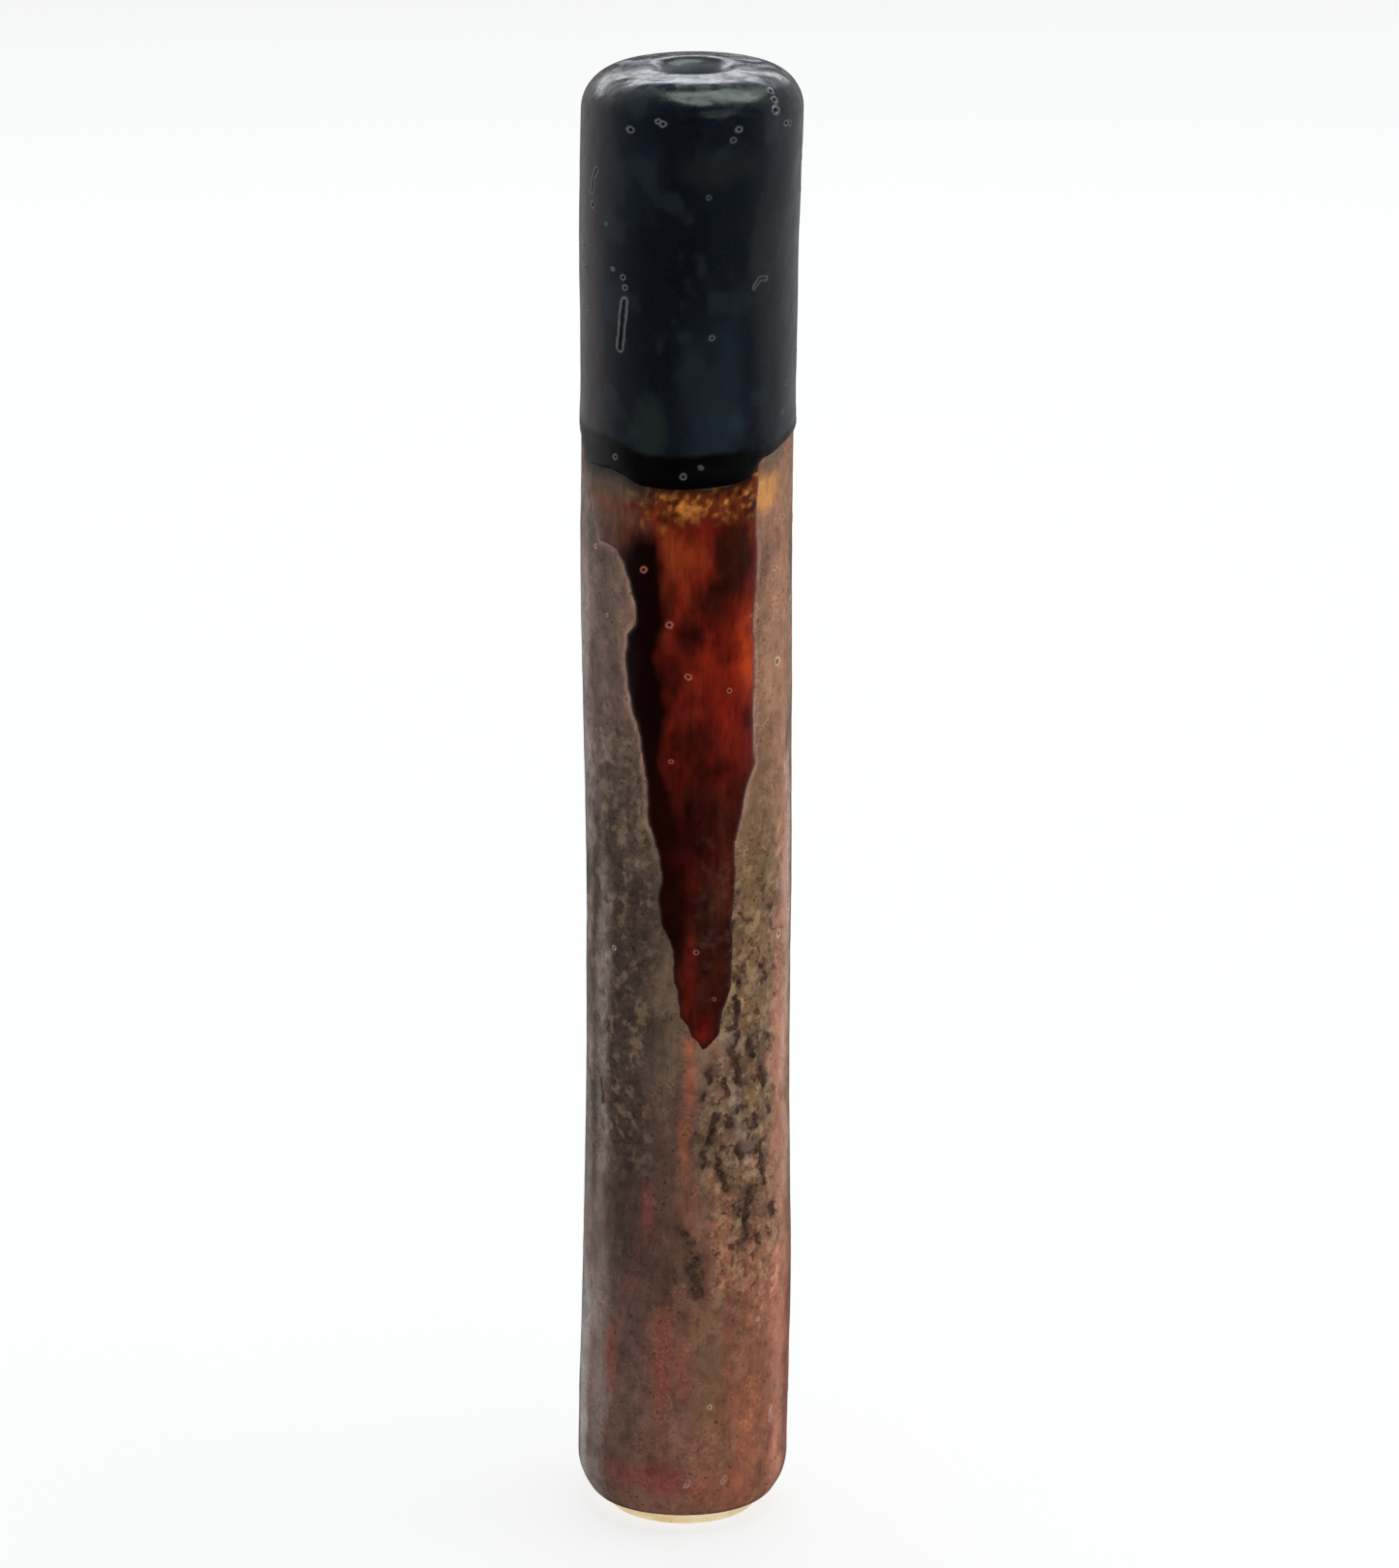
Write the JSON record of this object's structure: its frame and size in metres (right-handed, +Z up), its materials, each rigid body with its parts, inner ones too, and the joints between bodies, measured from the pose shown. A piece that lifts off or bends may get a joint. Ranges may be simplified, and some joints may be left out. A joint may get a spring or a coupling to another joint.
{
  "type": "sake bottle",
  "caption": "Tall slender cylindrical stoneware bottle with a rounded shoulder, a small flush mouth, a black glaze dip, a glossy amber run down one side and a bare clay foot.",
  "frame": {"origin": "centre of the foot's underside, on the surface that the bottle stands on", "axes": "+Z up along the bottle's axis to the mouth; -Y is the front, which the amber run faces"},
  "size_m": [0.047, 0.047, 0.329],
  "materials": {
    "clay": "bare fired stoneware, fine sandy grain, matte",
    "liner_glaze": "thin glossy dark brown liner glaze",
    "brown_glaze": "matte to satin iron glaze, mottled grey-brown and reddish brown",
    "black_glaze": "thick satin-gloss blue-black glaze with pinholes",
    "amber_glaze": "glossy translucent amber to dark red-brown glaze, golden under the black edge",
    "iron_crust": "rough dry dark crust"
  },
  "bodies": {
    "root": {"clay_base": "clay", "clay_wall": "clay", "clay_shoulder": "clay", "liner_glaze": "liner_glaze", "brown_glaze": "brown_glaze", "black_glaze": "black_glaze", "amber_run": "amber_glaze", "iron_crust": "iron_crust"}
  },
  "joints": []
}
